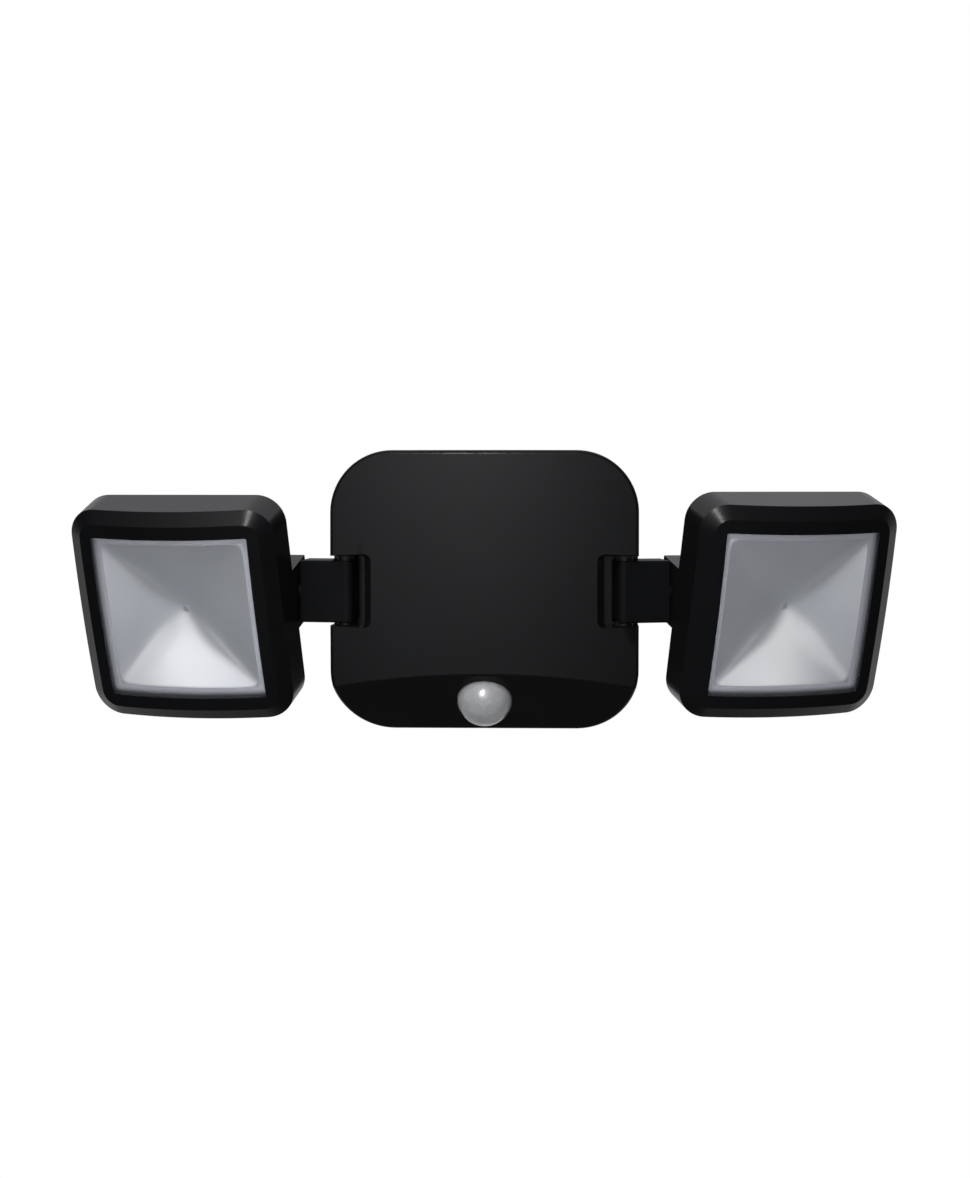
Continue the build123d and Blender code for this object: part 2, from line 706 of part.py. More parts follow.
with BuildPart() as lens_seat:
    with BuildSketch(Plane.XZ.offset(-HEAD_SPLIT + 5.0)):
        RectangleRounded(80.8, 83.2, 2)
    extrude(amount=30.0)
    add(crown_18, mode=Mode.INTERSECT)

with BuildPart() as head_front_shell:
    with BuildSketch(Plane.XZ.offset(-HEAD_SPLIT)):
        RectangleRounded(HEAD_W, HEAD_H, HEAD_R)
    extrude(amount=40)
    add(head_front, mode=Mode.INTERSECT)
    front = faces().sort_by(Axis.Y)[0]
    chamfer(front.edges(), length=CHAMFER_IN, length2=CHAMFER_DEEP, reference=front)
    add(head_cavity.part, mode=Mode.SUBTRACT)
    add(lens_seat.part, mode=Mode.SUBTRACT)
    with BuildSketch(Plane.XZ.offset(20)):
        RectangleRounded(WINDOW_W, WINDOW_H, 0.8)
    extrude(amount=30, mode=Mode.SUBTRACT)
    # rabbet of the seal
    with BuildSketch(Plane.XZ.offset(-HEAD_SPLIT)):
        RectangleRounded(HEAD_W - 2.6, HEAD_H - 2.6, HEAD_R - 1.3)
    extrude(amount=1.2, mode=Mode.SUBTRACT)
    # screw posts against the side walls
    with BuildSketch(Plane.XZ.offset(-HEAD_SPLIT + 0.1)):
        with GridLocations(86.6, 60, 2, 2):
            Circle(2.5)
    extrude(amount=15.0)
    with BuildSketch(Plane.XZ.offset(-HEAD_SPLIT + 1.3)):
        with GridLocations(91.0, 60, 2, 2):
            Rectangle(3.0, 2.4)
    extrude(amount=13.8)
    with BuildSketch(Plane.XZ.offset(-HEAD_SPLIT)):
        with GridLocations(86.6, 60, 2, 2):
            Circle(1.2)
    extrude(amount=12.0, mode=Mode.SUBTRACT)

with BuildPart() as head_rear_cover:
    with BuildSketch(Plane.XZ.offset(-HEAD_BACK)):
        RectangleRounded(HEAD_W, HEAD_H, HEAD_R)
    extrude(amount=HEAD_BACK - HEAD_SPLIT)
    fillet(edges().group_by(Axis.Y)[-1], 0.8)
    # lug behind the head, flush with its inner side
    with BuildSketch(Plane.XY.offset(-LUG_H)):
        with Locations((-HEAD_W / 2 + 12.0, (LUG_BACK + HEAD_SPLIT) / 2)):
            Rectangle(24.0, LUG_BACK - HEAD_SPLIT)
    extrude(amount=2 * LUG_H)
    fillet(
        [
            e for e in edges()
            if e.center().Y > LUG_BACK - 0.01
            or (
                -HEAD_W / 2 + 23.9 < e.center().X < -HEAD_W / 2 + 24.1
                and e.center().Y > HEAD_BACK + 0.5
            )
        ],
        0.8,
    )
    with Locations((-HEAD_W / 2 + 12.3, (5.8 + HEAD_SPLIT) / 2, 0)):
        Box(19.0, 5.8 - HEAD_SPLIT, 23.2, mode=Mode.SUBTRACT)
    with Locations((-HEAD_W / 2, 0, 0)):
        Cylinder(TILT_R + 0.05, 12, rotation=(0, 90, 0), mode=Mode.SUBTRACT)
    # standoffs of the heat plate
    with BuildSketch(Plane.XZ.offset(-HEAD_SPLIT)):
        with GridLocations(40, 40, 2, 2):
            Circle(3.0)
    extrude(amount=2.2)
    # screw holes
    with BuildSketch(Plane.XZ.offset(-HEAD_BACK)):
        with GridLocations(86.6, 60, 2, 2):
            Circle(2.4)
    extrude(amount=1.2, mode=Mode.SUBTRACT)
    with BuildSketch(Plane.XZ.offset(-HEAD_BACK)):
        with GridLocations(86.6, 60, 2, 2):
            Circle(1.4)
    extrude(amount=6.0, mode=Mode.SUBTRACT)

head_screws = screw_group(
    [(-43.3, -30), (-43.3, 30), (43.3, -30), (43.3, 30)],
    lambda h: Plane.XZ.offset(-HEAD_BACK + 1.2 + h), 2.2, 1.1, 1.2, 12.5, 1.2,
)

with BuildPart() as head_seal:
    with BuildSketch(Plane.XZ.offset(-HEAD_SPLIT)):
        RectangleRounded(HEAD_W - 2.7, HEAD_H - 2.7, HEAD_R - 1.35)
        RectangleRounded(HEAD_W - 4.6, HEAD_H - 4.6, HEAD_R - 2.3, mode=Mode.SUBTRACT)
    extrude(amount=1.15)


def plate(width, height, radius, d0, d1):
    """A crowned plate between two depths behind the head's front."""
    outer, inner = head_crown(d0), head_crown(d1)
    with BuildPart() as crowned_plate:
        with BuildSketch(Plane.XZ.offset(15)):
            RectangleRounded(width, height, radius)
        extrude(amount=40)
        add(outer, mode=Mode.INTERSECT)
        add(inner, mode=Mode.SUBTRACT)
    return crowned_plate.part


lens_flange = plate(80.4, 82.8, 1.8, 2.6, 4.1)
lens_window = plate(WINDOW_W - 0.4, WINDOW_H - 0.4, 0.6, 0.35, 4.1)
lens_hollow = plate(69.6, 72.0, 1.0, 2.4, 5.0)
with BuildPart() as lens:
    add(lens_flange)
    add(lens_window)
    add(lens_hollow, mode=Mode.SUBTRACT)

seal_outer = plate(80.4, 82.8, 1.8, 1.8, 2.6)
seal_inner = plate(76.4, 78.8, 1.0, 1.0, 3.2)
with BuildPart() as lens_seal:
    add(seal_outer)
    add(seal_inner, mode=Mode.SUBTRACT)

# concave reflector: a shallow four-sided pyramid, its collar crowned to
# follow the lens
reflector_flange = plate(78.0, 80.4, 1.8, 4.15, 5.4)
crown_415 = head_crown(4.15)
with BuildPart() as reflector_collar:
    with BuildSketch(Plane.XZ.offset(30.5)):
        RectangleRounded(70.6, 73.0, 2.2)
    extrude(amount=14)
    add(crown_415, mode=Mode.INTERSECT)
with BuildPart() as reflector:
    with BuildSketch(Plane.XZ.offset(20.6)):
        RectangleRounded(8.0, 8.0, 2.2)
    with BuildSketch(Plane.XZ.offset(31.0)):
        RectangleRounded(70.6, 73.0, 2.2)
    loft()
    add(reflector_collar.part)
    add(reflector_flange)
    with BuildSketch(Plane.XZ.offset(20.6)):
        RectangleRounded(4.2, 4.2, 1.0)
    with BuildSketch(Plane.XZ.offset(31.2)):
        RectangleRounded(67.4, 69.8, 1.2)
    loft(mode=Mode.SUBTRACT)
    with BuildSketch(Plane.XZ.offset(31.2)):
        RectangleRounded(67.4, 69.8, 1.2)
    extrude(amount=20, mode=Mode.SUBTRACT)

with BuildPart() as led_board:
    with BuildSketch(Plane.XZ.offset(18.0)):
        RectangleRounded(64, 30, 2)
    extrude(amount=1.5)
    with BuildSketch(Plane.XZ.offset(19.5)):
        RectangleRounded(3.6, 3.6, 0.7)
    extrude(amount=1.05)

with BuildPart() as heat_plate:
    with BuildSketch(Plane.XZ.offset(16.0)):
        RectangleRounded(52, 52, 3)
    extrude(amount=2.0)

with BuildPart() as head_lead:
    with BuildLine() as lead_route:
        FilletPolyline(
            (-HEAD_W / 2 + 0.1, 0, 0), (-29.0, 0, 0), (-29.0, -17.95, 0), radius=5.0
        )
    with BuildSketch(Plane(origin=lead_route.line @ 0, z_dir=lead_route.line % 0)):
        Circle(1.15)
    sweep(path=lead_route.line)

arm_pieces = {
    "arm_front_shell": arm_front_shell, "arm_rear_shell": arm_rear_shell,
    "arm_screws": arm_screws, "pan_washers": pan_washers, "tilt_bolt": tilt_bolt,
    "tilt_washers": tilt_washers, "tilt_nut": tilt_nut, "arm_lead": arm_lead,
}
head_pieces = {
    "head_front_shell": head_front_shell, "head_rear_cover": head_rear_cover,
    "head_screws": head_screws, "head_seal": head_seal, "lens": lens,
    "lens_seal": lens_seal, "reflector": reflector, "led_board": led_board,
    "heat_plate": heat_plate, "head_lead": head_lead,
}
for side, s, swing, tilt in (
    ("left", -1, -PAN_LEFT, TILT_LEFT), ("right", 1, PAN_RIGHT, TILT_RIGHT)
):
    arm_frame = Location((s * PAN_X, PAN_Y, PAN_Z), (0, 0, swing))
    head_frame = arm_frame * Location((0, 0, 0), (tilt, 0, 0)) * Location((s * HEAD_X, 0, 0))
    for group, frame in ((arm_pieces, arm_frame), (head_pieces, head_frame)):
        for name, piece in group.items():
            shape = piece.part
            if s < 0:
                shape = mirror(shape, about=Plane.YZ, mode=Mode.PRIVATE)
            with BuildPart() as placed:
                add(shape.moved(frame))
            pieces(placed.part, f"{side}_{name}")
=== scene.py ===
"""Looks of the motion sensor security light: materials, lens optics, light and camera."""
import json
import math

import bmesh
import bpy
from mathutils import Matrix, Vector


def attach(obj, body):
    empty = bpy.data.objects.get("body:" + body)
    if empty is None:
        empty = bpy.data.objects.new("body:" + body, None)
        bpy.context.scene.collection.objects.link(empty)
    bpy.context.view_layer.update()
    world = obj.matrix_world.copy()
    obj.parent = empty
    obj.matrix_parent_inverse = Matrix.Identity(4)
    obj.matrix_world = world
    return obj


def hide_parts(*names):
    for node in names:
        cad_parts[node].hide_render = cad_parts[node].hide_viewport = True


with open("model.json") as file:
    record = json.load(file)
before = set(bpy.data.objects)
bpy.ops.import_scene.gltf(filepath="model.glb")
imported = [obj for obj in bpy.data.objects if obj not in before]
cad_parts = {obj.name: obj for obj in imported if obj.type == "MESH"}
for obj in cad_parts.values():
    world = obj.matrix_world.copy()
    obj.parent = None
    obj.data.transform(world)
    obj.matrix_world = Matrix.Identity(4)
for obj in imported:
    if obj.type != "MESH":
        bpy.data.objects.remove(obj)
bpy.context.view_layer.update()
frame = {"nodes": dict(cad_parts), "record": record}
nodes = frame["nodes"]
MM = 0.001


# ------------------------------------------------------------------ material kit
class Mat:
    """A node material with a Principled shader, built up step by step."""

    def __init__(self, name, color, rough, **sockets):
        self.m = bpy.data.materials.new(name)
        self.m.use_nodes = True
        self.t = self.m.node_tree
        self.t.nodes.clear()
        self.out = self.t.nodes.new("ShaderNodeOutputMaterial")
        self.b = self.t.nodes.new("ShaderNodeBsdfPrincipled")
        self.t.links.new(self.b.outputs[0], self.out.inputs[0])
        self.b.inputs["Base Color"].default_value = (*color, 1)
        self.b.inputs["Roughness"].default_value = rough
        for k, v in sockets.items():
            self.b.inputs[k.replace("_", " ")].default_value = v
        self.color, self.rough = color, rough
        self.coord = self.t.nodes.new("ShaderNodeTexCoord").outputs["Object"]

    def node(self, kind, **props):
        n = self.t.nodes.new(kind)
        for k, v in props.items():
            setattr(n, k, v)
        return n

    def link(self, a, b):
        self.t.links.new(a, b)

    def noise(self, scale, detail=4.0, rough=0.55, stretch=None):
        n = self.node("ShaderNodeTexNoise")
        n.inputs["Scale"].default_value = scale
        n.inputs["Detail"].default_value = detail
        n.inputs["Roughness"].default_value = rough
        src = self.coord
        if stretch:
            m = self.node("ShaderNodeMapping")
            m.inputs["Scale"].default_value = stretch
            self.link(src, m.inputs["Vector"])
            src = m.outputs["Vector"]
        self.link(src, n.inputs["Vector"])
        return n.outputs["Fac"]

    def ramp(self, fac, stops):
        n = self.node("ShaderNodeValToRGB")
        r = n.color_ramp
        while len(r.elements) > 1:
            r.elements.remove(r.elements[-1])
        r.elements[0].position, r.elements[0].color = stops[0][0], (*stops[0][1], 1)
        for pos, col in stops[1:]:
            r.elements.new(pos).color = (*col, 1)
        self.link(fac, n.inputs["Fac"])
        return n.outputs["Color"]

    def span(self, fac, lo, hi, a=0.3, b=0.7):
        n = self.node("ShaderNodeMapRange")
        n.inputs["From Min"].default_value, n.inputs["From Max"].default_value = a, b
        n.inputs["To Min"].default_value, n.inputs["To Max"].default_value = lo, hi
        self.link(fac, n.inputs["Value"])
        return n.outputs["Result"]

    def vary_color(self, fac, lo=0.85, hi=1.15):
        self.link(
            self.ramp(fac, [(0.3, tuple(c * lo for c in self.color)),
                            (0.7, tuple(min(1, c * hi) for c in self.color))]),
            self.b.inputs["Base Color"],
        )
        return self

    def vary_rough(self, fac, lo, hi):
        self.link(self.span(fac, lo, hi), self.b.inputs["Roughness"])
        return self

    def bump(self, height, strength, distance):
        n = self.node("ShaderNodeBump")
        n.inputs["Strength"].default_value = strength
        n.inputs["Distance"].default_value = distance
        self.link(height, n.inputs["Height"])
        self.link(n.outputs["Normal"], self.b.inputs["Normal"])
        return self


def moulded(name, color, rough, spread=0.05, grain=2600.0, depth=0.06, **sockets):
    """Moulded plastic: faint cloudy gloss, a fine spark-eroded grain and slow flow waves."""
    m = Mat(name, color, rough, **sockets)
    cloud = m.noise(38.0, 3.0)
    m.vary_color(m.noise(21.0, 2.0), 0.9, 1.1)
    m.vary_rough(cloud, rough - spread, rough + spread)
    fine = m.noise(grain, 2.0, 0.6)
    slow = m.noise(55.0, 1.0)
    add = m.node("ShaderNodeMath", operation="MULTIPLY_ADD")
    m.link(slow, add.inputs[0])
    add.inputs[1].default_value = 0.8
    m.link(fine, add.inputs[2])
    m.bump(add.outputs[0], depth, 0.0002)
    return m


def metal(name, color, rough, stretch, metallic=1.0, depth=0.25):
    """Drawn or turned metal: fine lines one way, a little tarnish."""
    m = Mat(name, color, rough, Metallic=metallic)
    lines = m.noise(900.0, 3.0, 0.6, stretch=stretch)
    m.vary_color(m.noise(120.0, 3.0), 0.82, 1.08)
    m.vary_rough(lines, max(0.05, rough - 0.12), rough + 0.12)
    m.bump(lines, depth, 0.00008)
    return m


shell = moulded("satin_black_shell", (0.0019, 0.0020, 0.0022), 0.24, 0.025, depth=0.03,
                 Specular_IOR_Level=0.2)
arm_mat = moulded("satin_black_arm", (0.0019, 0.0020, 0.0022), 0.40, 0.03, depth=0.05,
                  Specular_IOR_Level=0.06)
bracket_mat = moulded("matt_black_bracket", (0.012, 0.012, 0.013), 0.55, 0.06, 1500.0, 0.14)
inner_mat = moulded("inner_black_plastic", (0.02, 0.02, 0.021), 0.5, 0.06, 1700.0, 0.1)
knob_mat = moulded("switch_knob_grey", (0.30, 0.31, 0.32), 0.42, 0.05, 1500.0, 0.12)
washer_mat = moulded("black_acetal_washer", (0.006, 0.006, 0.0065), 0.5, 0.05, 1500.0, 0.1)
rubber = moulded("seal_rubber_soft", (0.012, 0.012, 0.012), 0.72, 0.06, 1200.0, 0.22)
sleeve = moulded("lead_insulation", (0.02, 0.02, 0.022), 0.48, 0.06, 1400.0, 0.12)
component = moulded("moulded_component", (0.02, 0.02, 0.022), 0.5, 0.07, 2000.0, 0.15)
steel = metal("stainless_fastener", (0.50, 0.50, 0.51), 0.32, (1, 0.15, 1))
contact = metal("nickel_contact", (0.60, 0.58, 0.54), 0.3, (0.2, 1, 1))
heat = metal("rolled_aluminium", (0.75, 0.76, 0.77), 0.36, (0.12, 1, 1))


def board(name, base, line):
    """Circuit board: solder mask over faint copper tracks."""
    m = Mat(name, base, 0.38)
    v = m.node("ShaderNodeTexVoronoi", feature="DISTANCE_TO_EDGE", distance="CHEBYCHEV")
    v.inputs["Scale"].default_value = 170.0
    m.link(m.coord, v.inputs["Vector"])
    tracks = m.ramp(v.outputs["Distance"], [(0.0, line), (0.05, line), (0.09, base)])
    m.link(tracks, m.b.inputs["Base Color"])
    m.vary_rough(m.noise(300.0), 0.3, 0.46)
    m.bump(v.outputs["Distance"], 0.15, 0.0001)
    return m


green = board("green_board", (0.012, 0.10, 0.035), (0.03, 0.17, 0.06))
white = board("white_led_board", (0.78, 0.78, 0.75), (0.68, 0.68, 0.64))

# printed wrap of a cell: a plain dark sleeve with a gold band at one end
cell = Mat("cell_shrink_wrap", (0.03, 0.035, 0.045), 0.26)
sep = cell.node("ShaderNodeSeparateXYZ")
cell.link(cell.coord, sep.inputs[0])
cell.link(
    cell.ramp(cell.span(sep.outputs["Z"], 0, 1, -0.024, 0.024),
              [(0.0, (0.45, 0.28, 0.06)), (0.24, (0.45, 0.28, 0.06)), (0.26, (0.03, 0.035, 0.045)),
               (1.0, (0.03, 0.035, 0.045))]),
    cell.b.inputs["Base Color"])
cell.vary_rough(cell.noise(60.0), 0.2, 0.34)
cell.bump(cell.noise(90.0, 2.0), 0.2, 0.0003)

# sensor dome: milky polyethylene
dome = Mat("milky_sensor_dome", (0.145, 0.147, 0.149), 0.12, IOR=1.5)
dome.b.inputs["Subsurface Weight"].default_value = 0.8
dome.b.inputs["Subsurface Radius"].default_value = (1.0, 1.0, 1.0)
dome.b.inputs["Subsurface Scale"].default_value = 0.006
dome.vary_color(dome.noise(160.0, 3.0), 0.95, 1.04)
dome.vary_rough(dome.noise(90.0), 0.10, 0.15)
dome.bump(dome.noise(500.0), 0.05, 0.0001)

# lens cover: thin hazy polycarbonate
cover = Mat("hazy_lens_cover", (0.08, 0.085, 0.095), 0.3, IOR=1.5)
cover.b.inputs["Alpha"].default_value = 0.08
cover.vary_color(cover.noise(30.0, 2.0), 0.96, 1.04)
cover.vary_rough(cover.noise(50.0, 2.0), 0.27, 0.34)
cover.bump(cover.noise(2200.0, 2.0), 0.03, 0.0001)

# reflector: vacuum-metallised plastic with a satin base coat
mirror = Mat("satin_reflector", (0.77, 0.81, 0.87), 0.34, Metallic=0.85)
mirror.vary_color(mirror.noise(30.0, 2.0), 0.97, 1.02)
mirror.vary_rough(mirror.noise(45.0, 2.0), 0.32, 0.37)
mirror.bump(mirror.noise(1800.0, 2.0), 0.08, 0.0001)
band = Mat("reflector_rim_band", (0.25, 0.26, 0.29), 0.5, Metallic=0.3)
band.vary_color(band.noise(40.0, 2.0), 0.94, 1.06)
band.vary_rough(band.noise(60.0, 2.0), 0.46, 0.56)
band.bump(band.noise(1800.0, 2.0), 0.1, 0.0001)

by_slot = {
    "housing_plastic": shell, "bracket_plastic": bracket_mat, "inner_plastic": inner_mat,
    "knob_plastic": knob_mat, "dome_plastic": dome, "lens_clear": cover,
    "reflector_satin": mirror, "seal_rubber": rubber, "screw_steel": steel,
    "contact_metal": contact, "washer_plastic": washer_mat, "cell_wrap": cell,
    "board_green": green, "board_white": white, "component_black": component,
    "heat_aluminium": heat, "lead_sleeve": sleeve,
}
slot_of = {p["node"]: p["material_slot"] for p in frame["record"]["subparts"]}
for name, obj in nodes.items():
    obj.data.materials.clear()
    own = arm_mat if name.endswith(("_arm_front_shell", "_arm_rear_shell")) else by_slot[slot_of[name]]
    obj.data.materials.append(own.m)

# ------------------------------------------------------- shaped pieces of the look
# Places from part.py, in millimetres and degrees.
PAN_X, PAN_Y, PAN_Z, HEAD_X = 63.7, -64.4, 0.3, 69.05
SWING = {"left": -11.5, "right": 19.4}
TILT = {"left": 19.9, "right": 16.9}
HEAD_APEX, HEAD_RH, HEAD_RV = -39.7, 220.0, 600.0
CHIN_ANGLE, DOME_R = 43.0, 12.75


def head_matrix(side):
    s = -1 if side == "left" else 1
    return (
        Matrix.Translation((s * PAN_X, PAN_Y, PAN_Z))
        @ Matrix.Rotation(math.radians(SWING[side]), 4, "Z")
        @ Matrix.Rotation(math.radians(TILT[side]), 4, "X")
        @ Matrix.Translation((s * HEAD_X, 0, 0))
    )


def build(name, verts, faces, matrix, mats, face_mats=None):
    """A mesh object from points in millimetres, its normals turned outward."""
    me = bpy.data.meshes.new(name)
    me.from_pydata([tuple((matrix @ Vector(v)) * MM) for v in verts], [], faces)
    bm = bmesh.new()
    bm.from_mesh(me)
    bmesh.ops.recalc_face_normals(bm, faces=bm.faces)
    bm.to_mesh(me)
    bm.free()
    me.validate()
    for m in mats:
        me.materials.append(m.m)
    for i, f in enumerate(me.polygons):
        f.use_smooth = True
        if face_mats:
            f.material_index = face_mats[i]
    obj = bpy.data.objects.new(name, me)
    bpy.context.scene.collection.objects.link(obj)
    return obj


def slab(us, vs, front, back):
    """Closed plate over a grid: front and back give y at a grid point."""
    nu, nv = len(us), len(vs)
    verts = [(u, front(u, v), v) for v in vs for u in us]
    verts += [(u, back(u, v), v) for v in vs for u in us]
    off = nu * nv
    faces, where = [], []
    for j in range(nv - 1):
        for i in range(nu - 1):
            q = [j * nu + i, j * nu + i + 1, (j + 1) * nu + i + 1, (j + 1) * nu + i]
            faces.append(q)
            faces.append([k + off for k in reversed(q)])
            c = (0.5 * (us[i] + us[i + 1]), 0.5 * (vs[j] + vs[j + 1]))
            where += [c, c]
    ring = [i for i in range(nu)] + [j * nu + nu - 1 for j in range(1, nv)]
    ring += [(nv - 1) * nu + i for i in range(nu - 2, -1, -1)] + [j * nu for j in range(nv - 2, 0, -1)]
    for k, a0 in enumerate(ring):
        b0 = ring[(k + 1) % len(ring)]
        faces.append([a0, b0, b0 + off, a0 + off])
        where.append((1e3, 1e3))
    return verts, faces, where


def crown(u, v, d):
    return HEAD_APEX + d + u * u / (2 * (HEAD_RH - d)) + v * v / (2 * (HEAD_RV - d))


def lines(half, rim, count):
    """Grid lines from -half to half, with a close pair at each rim."""
    inner = [rim * math.sin(math.pi / 2 * (2 * k / count - 1)) * 0.35
             + rim * (2 * k / count - 1) * 0.65 for k in range(count + 1)]
    outer = [rim + 0.22, rim + 1.0, half]
    return [-x for x in reversed(outer)] + inner + outer


CAV_A, CAV_B, CAV_D = 33.7, 34.9, 14.6


def reflector_front(u, v):
    """Four-sided funnel: crisp valleys at the corners, melting into a round bottom."""
    U, V = abs(u) / CAV_A, abs(v) / CAV_B
    m = max(U, V)
    if m > 1.001:
        return crown(u, v, 4.15)
    p = 2.2 + 16.0 * m ** 3
    s = m * ((U / m) ** p + (V / m) ** p) ** (1 / p) if m > 0 else 0.0
    s = math.sqrt(s * s + 0.05) / math.sqrt(1.05)
    return crown(u, v, 4.15) + CAV_D * max(0.0, 1 - s)


def flip(side, verts):
    return [(-x, y, z) for x, y, z in verts] if side == "left" else verts


bowls = bpy.data.collections.new("bowls")
for side in ("left", "right"):
    hm = head_matrix(side)
    us, vs = lines(39.0, CAV_A, 72), lines(40.2, CAV_B, 72)
    verts, faces, where = slab(us, vs, reflector_front, lambda u, v: reflector_front(u, v) + 1.1)
    tags = [1 if max(abs(c[0]) / CAV_A, abs(c[1]) / CAV_B) > 1.0 else 0 for c in where]
    piece = build(f"{side}_reflector_bowl", flip(side, verts), faces, hm, [mirror, band], tags)
    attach(piece, f"{side}_head")
    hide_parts(f"{side}_reflector")
    bowls.objects.link(piece)

    # cover: crowned plate with an eased edge
    a0, b0, ease = 36.95, 38.45, 0.45
    grid_u = [-a0, -a0 + 0.15, -a0 + ease] + [(-1 + k / 20) * (a0 - ease) for k in range(1, 40)] + [a0 - ease, a0 - 0.15, a0]
    grid_v = [-b0, -b0 + 0.15, -b0 + ease] + [(-1 + k / 20) * (b0 - ease) for k in range(1, 40)] + [b0 - ease, b0 - 0.15, b0]

    def cover_front(u, v):
        t = max(0.0, abs(u) - (a0 - ease), abs(v) - (b0 - ease)) / ease
        return crown(u, v, 0.35) + 0.5 * (1 - math.sqrt(max(0.0, 1 - t * t)))

    verts, faces, where = slab(grid_u, grid_v, cover_front, lambda u, v: crown(u, v, 2.35))
    piece = build(f"{side}_lens_cover", flip(side, verts), faces, hm, [cover])
    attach(piece, f"{side}_head")
    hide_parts(f"{side}_lens")

    # round window of the light source, flush at the bottom of the bowl
    n, floor_y = 24, reflector_front(0, 0)
    verts, faces = [(0, floor_y - 0.22, 0)], []
    for k, (rad, y) in enumerate(((0.9, -0.20), (1.5, -0.12), (1.8, 0.0), (1.85, 0.35))):
        verts += [(rad * math.cos(2 * math.pi * i / n), floor_y + y, rad * math.sin(2 * math.pi * i / n))
                  for i in range(n)]
        for i in range(n):
            j = (i + 1) % n
            if k == 0:
                faces.append([0, 1 + i, 1 + j])
            else:
                faces.append([1 + (k - 1) * n + i, 1 + (k - 1) * n + j, 1 + k * n + j, 1 + k * n + i])
    faces.append([1 + 3 * n + i for i in range(n)])
    piece = build(f"{side}_emitter_window", flip(side, verts), faces, hm, [mirror])
    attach(piece, f"{side}_head")

# Sensor dome: a milky cap pressed into shallow lens facets, with its flange.
ca = math.radians(CHIN_ANGLE)
axis_n = Vector((0, -math.cos(ca), -math.sin(ca)))
axis_u = Vector((0, -math.sin(ca), math.cos(ca)))
DOME_C = Vector((0, -65.695, -49.207))
cells = [Vector((0, 0, 1))]
for count, angle, turn in ((5, 29, 36), (10, 60, 0), (15, 88, 12)):
    for k in range(count):
        az = math.radians(turn + 360 * k / count)
        t = math.radians(angle)
        cells.append(Vector((math.sin(t) * math.sin(az), math.sin(t) * math.cos(az), math.cos(t))))


def dome_radius(d):
    near = sorted((d.dot(c) for c in cells), reverse=True)[:2]
    flat = 1.0 / max(0.2, near[0])
    seam = max(0.0, 1.0 - (math.acos(min(1.0, near[1])) - math.acos(min(1.0, near[0]))) / 0.045)
    return DOME_R * min(1.0, 0.985 * (0.35 + 0.65 * flat)) - 0.09 * seam


rings, sectors = 72, 216
verts, faces = [], []
for j in range(rings + 1):
    t = math.radians(92) * j / rings
    for i in range(sectors):
        az = 2 * math.pi * i / sectors
        d = Vector((math.sin(t) * math.sin(az), math.sin(t) * math.cos(az), math.cos(t)))
        verts.append(tuple(d * dome_radius(d)))
        if j == 0:
            break
base = len(verts) - sectors
for j in range(rings):
    for i in range(sectors):
        k = (i + 1) % sectors
        if j == 0:
            faces.append([0, 1 + i, 1 + k])
        else:
            p0, p1 = 1 + (j - 1) * sectors, 1 + j * sectors
            faces.append([p0 + i, p1 + i, p1 + k, p0 + k])
prev = base
for rad, h in ((DOME_R - 0.05, -1.5), (14.55, -1.6), (14.55, -2.7), (8.0, -2.7)):
    start = len(verts)
    verts += [(rad * math.sin(2 * math.pi * i / sectors), rad * math.cos(2 * math.pi * i / sectors), h)
              for i in range(sectors)]
    for i in range(sectors):
        k = (i + 1) % sectors
        faces.append([prev + i, start + i, start + k, prev + k])
    prev = start
faces.append([prev + i for i in range(sectors)])
dm = Matrix((Vector((1, 0, 0)), axis_u, axis_n)).transposed().to_4x4()
piece = build("sensor_dome", verts, faces, Matrix.Translation(DOME_C) @ dm, [dome])
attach(piece, "housing")
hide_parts("pir_lens")

# ------------------------------------------------------------------------ camera
FRAME_W = 970.0
FOCAL_PX = 2363.8
DIST, ELEV, AZIM, AIM_Z, SHIFT_PX = 1.07375, 2.522, -2.311, 1.253, -0.989
e, a = math.radians(ELEV), math.radians(AZIM)
look = Vector((math.sin(a) * math.cos(e), math.cos(a) * math.cos(e), -math.sin(e)))
right = Vector((math.cos(a), -math.sin(a), 0))
up = right.cross(look)
cam_data = bpy.data.cameras.new("photo_camera")
cam_data.sensor_fit, cam_data.sensor_width = "HORIZONTAL", 36.0
cam_data.lens = FOCAL_PX / FRAME_W * 36.0
cam_data.shift_x = -SHIFT_PX / FRAME_W
cam_data.clip_start = 0.05
cam = bpy.data.objects.new("photo_camera", cam_data)
bpy.context.scene.collection.objects.link(cam)
rot = Matrix((right, up, -look)).transposed().to_4x4()
target = Vector((0, -73 * MM, AIM_Z * MM))
cam.matrix_world = Matrix.Translation(target - look * DIST) @ rot
bpy.context.scene.camera = cam

# ------------------------------------------------------------------ stage, light
bpy.ops.mesh.primitive_circle_add(vertices=96, radius=0.75, fill_type="NGON", location=(0, -0.05, -0.62))
floor = bpy.context.object
floor.name = "pale_floor"
fm = Mat("pale_floor_paint", (0.86, 0.86, 0.85), 0.7)
fm.vary_color(fm.noise(3.0), 0.99, 1.01)
floor.data.materials.append(fm.m)
floor.visible_glossy = False
floor.visible_diffuse = False
floor.visible_transmission = False

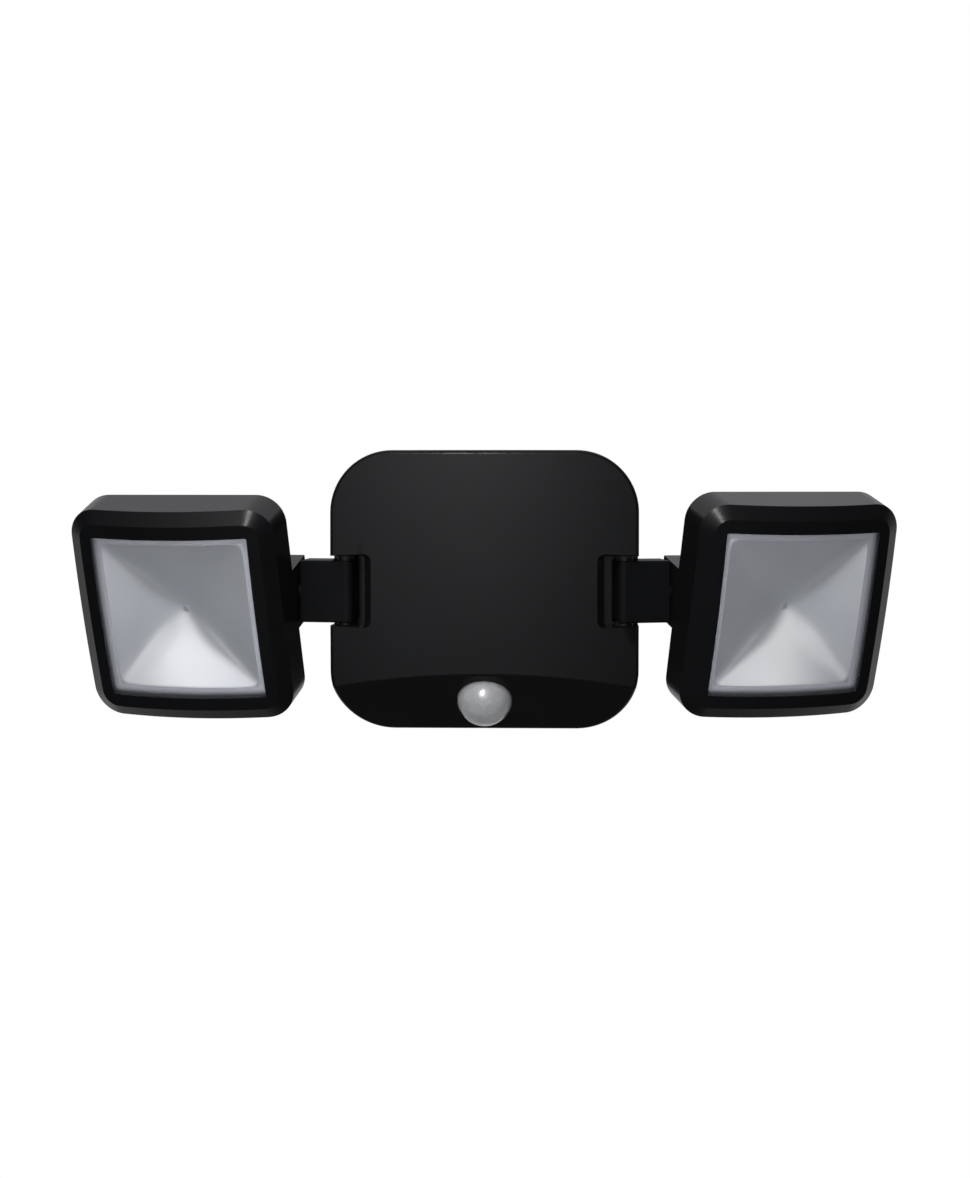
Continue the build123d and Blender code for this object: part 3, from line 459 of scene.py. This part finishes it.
# soft panels seen in the gloss: centre x, width, centre z, height, strength
PANELS = (
    (-0.10, 0.27, 0.30, 0.27, 2.05),
)
AMBIENT = 0.02
world = bpy.data.worlds.new("studio")
bpy.context.scene.world = world
world.use_nodes = True
wt = world.node_tree
wt.nodes.clear()
w_out = wt.nodes.new("ShaderNodeOutputWorld")
mix = wt.nodes.new("ShaderNodeMixShader")
path = wt.nodes.new("ShaderNodeLightPath")
seen = wt.nodes.new("ShaderNodeBackground")
seen.inputs["Color"].default_value = (1, 1, 1, 1)
seen.inputs["Strength"].default_value = 1.0
lit = wt.nodes.new("ShaderNodeBackground")
tc = wt.nodes.new("ShaderNodeTexCoord")
sp = wt.nodes.new("ShaderNodeSeparateXYZ")


def wmath(op, a, b=None, clamp=False):
    """A math node of the world; a and b are sockets or numbers."""
    n = wt.nodes.new("ShaderNodeMath")
    n.operation, n.use_clamp = op, clamp
    for i, v in enumerate((a, b)):
        if v is None:
            continue
        if isinstance(v, (int, float)):
            n.inputs[i].default_value = v
        else:
            wt.links.new(v, n.inputs[i])
    return n.outputs[0]


def wstep(v, lo, hi, top):
    n = wt.nodes.new("ShaderNodeMapRange")
    n.interpolation_type = "SMOOTHSTEP"
    n.inputs["From Min"].default_value, n.inputs["From Max"].default_value = lo, hi
    n.inputs["To Min"].default_value, n.inputs["To Max"].default_value = 0.0, top
    wt.links.new(v, n.inputs["Value"])
    return n.outputs["Result"]


# Surroundings of a light tent: pale behind and above, dark in front and below,
# with one soft frontal panel.
wt.links.new(tc.outputs["Generated"], sp.inputs[0])
dx, dy, dz = sp.outputs["X"], sp.outputs["Y"], sp.outputs["Z"]
low_dip = wmath("MULTIPLY", wmath("SUBTRACT", dz, 0.05), 1 / 0.16)
low_dip = wmath("MULTIPLY", wmath("EXPONENT", wmath("MULTIPLY", wmath("MULTIPLY", low_dip, low_dip), -0.5)), 0.5)
low_dip = wmath("ADD", low_dip, wstep(wmath("MULTIPLY", dz, -1.0), 0.5, 0.9, 0.5))
behind = wmath("MULTIPLY", wstep(dy, 0.12, 0.5, 0.68), wmath("SUBTRACT", 1.0, low_dip))
above = wmath("MULTIPLY", wstep(dz, 0.55, 0.95, 0.75), wstep(dy, -0.1, 0.15, 1.0))
below = wstep(wmath("MULTIPLY", dz, -1.0), 0.4, 0.85, 0.03)
panel = None
for cx, wx, cz, wz, strength in PANELS:
    px = wmath("DIVIDE", wmath("SUBTRACT", dx, cx), wx)
    pz = wmath("DIVIDE", wmath("SUBTRACT", dz, cz), wz)
    r2 = wmath("ADD", wmath("MULTIPLY", px, px), wmath("MULTIPLY", pz, pz))
    lobe = wmath("MULTIPLY", wmath("EXPONENT", wmath("MULTIPLY", r2, -0.5)), strength)
    panel = lobe if panel is None else wmath("ADD", panel, lobe)
panel = wmath("MULTIPLY", panel, wstep(wmath("MULTIPLY", dy, -1.0), 0.2, 0.6, 1.0))
total = wmath("ADD", wmath("ADD", wmath("MAXIMUM", behind, above), below), wmath("ADD", panel, AMBIENT))
tint = wt.nodes.new("ShaderNodeCombineColor")
wt.links.new(total, tint.inputs[0])
wt.links.new(total, tint.inputs[1])
wt.links.new(wmath("MULTIPLY", total, 1.04), tint.inputs[2])
wt.links.new(tint.outputs[0], lit.inputs["Color"])
wt.links.new(path.outputs["Is Camera Ray"], mix.inputs[0])
wt.links.new(lit.outputs[0], mix.inputs[1])
wt.links.new(seen.outputs[0], mix.inputs[2])
wt.links.new(mix.outputs[0], w_out.inputs[0])


def softbox(name, place, aim, size, power, color=(1, 1, 1)):
    d = bpy.data.lights.new(name, "AREA")
    d.shape, d.size, d.size_y = "RECTANGLE", size[0], size[1]
    d.energy, d.color = power, color
    o = bpy.data.objects.new(name, d)
    bpy.context.scene.collection.objects.link(o)
    o.location = place
    o.rotation_euler = (Vector(aim) - Vector(place)).to_track_quat("-Z", "Y").to_euler()
    o.visible_camera = False
    return o


softbox("key", (-0.10, -1.26, 0.60), (0, -0.07, 0.0), (0.13, 0.19), 3.3)
# scattered light of the tent, kept out of the gloss
for o in (softbox("high_fill", (-0.20, -0.75, 0.95), (0, -0.08, 0.0), (0.8, 0.6), 31.0),
          softbox("low_fill", (0, -0.90, -0.50), (0, -0.08, 0.0), (0.8, 0.4), 14.0)):
    o.visible_glossy = False
softbox("overhead", (0, 0.1, 1.1), (0, -0.05, 0), (1.2, 0.9), 2.5)

# low strip lights on both sides, which only the bowls take
STRIPS = (
    ("left_strip", -0.13, (-0.56, -0.83, 0.00), (0.34, 0.34), 0.90),
    ("left_low_strip", -0.13, (-0.40, -0.80, -0.42), (0.34, 0.30), 0.42),
    ("right_strip", 0.13, (0.66, -0.75, 0.02), (0.34, 0.34), 0.60),
    ("right_low_strip", 0.13, (0.52, -0.78, -0.34), (0.34, 0.30), 0.42),
)
for name, x, way, size, power in STRIPS:
    at = Vector((x, -0.09, 0.0))
    o = softbox(name, at + Vector(way), at, size, power, (1.0, 0.94, 0.86))
    o.light_linking.receiver_collection = bowls

bpy.context.scene.view_settings.view_transform = "Standard"
bpy.context.scene.view_settings.look = "None"
